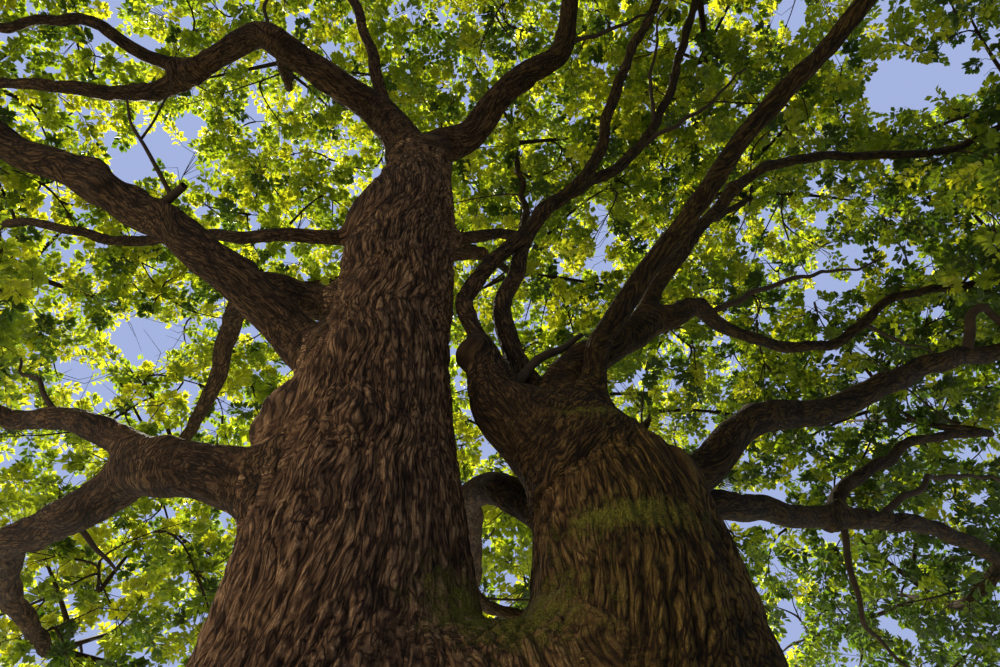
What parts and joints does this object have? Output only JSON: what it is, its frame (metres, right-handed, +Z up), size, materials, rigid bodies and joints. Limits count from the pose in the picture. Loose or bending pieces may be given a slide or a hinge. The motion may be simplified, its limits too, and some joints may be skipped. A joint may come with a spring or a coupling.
{
  "type": "oak tree",
  "caption": "Very old broad-crowned oak: a massive flared foot forks low into two stems whose winding boughs carry open masses of foliage.",
  "frame": {"origin": "centre of the flat cut under the trunk, at ground level", "axes": "+Z up the trunk; +X to the right and +Y away from the viewer as in the picture"},
  "size_m": [21.1024, 17.3271, 16.8704],
  "materials": {
    "bark": "rough, deeply ridged",
    "leaves": "soft, lets light through"
  },
  "bodies": {
    "root": {"trunk": "bark", "left_stem": "bark", "right_stem": "bark", "low_left": "bark", "low_left_upper": "bark", "great_left": "bark", "great_left_front": "bark", "back_left": "bark", "thin_left": "bark", "crown_left": "bark", "crown_left_upper": "bark", "crown_left_back": "bark", "crown_upright": "bark", "crown_right": "bark", "behind_left": "bark", "back_high": "bark", "back_left_high": "bark", "back_mid": "bark", "burl_limb": "bark", "middle_limb": "bark", "long_bough": "bark", "front_mid": "bark", "upper_right": "bark", "upper_right_up": "bark", "back_far_right": "bark", "right_bough": "bark", "lower_right": "bark", "lower_right_spur": "bark", "back_bough": "bark", "back_right": "bark", "front_low_right": "bark", "low_left_leaves": "leaves", "low_left_upper_leaves": "leaves", "great_left_leaves": "leaves", "great_left_front_leaves": "leaves", "back_left_leaves": "leaves", "thin_left_leaves": "leaves", "crown_left_leaves": "leaves", "crown_left_upper_leaves": "leaves", "crown_left_back_leaves": "leaves", "crown_upright_leaves": "leaves", "crown_right_leaves": "leaves", "behind_left_leaves": "leaves", "back_high_leaves": "leaves", "back_left_high_leaves": "leaves", "back_mid_leaves": "leaves", "burl_limb_leaves": "leaves", "middle_limb_leaves": "leaves", "long_bough_leaves": "leaves", "front_mid_leaves": "leaves", "upper_right_leaves": "leaves", "upper_right_up_leaves": "leaves", "back_far_right_leaves": "leaves", "right_bough_leaves": "leaves", "lower_right_leaves": "leaves", "lower_right_spur_leaves": "leaves", "back_bough_leaves": "leaves", "back_right_leaves": "leaves", "front_low_right_leaves": "leaves"}
  },
  "joints": []
}
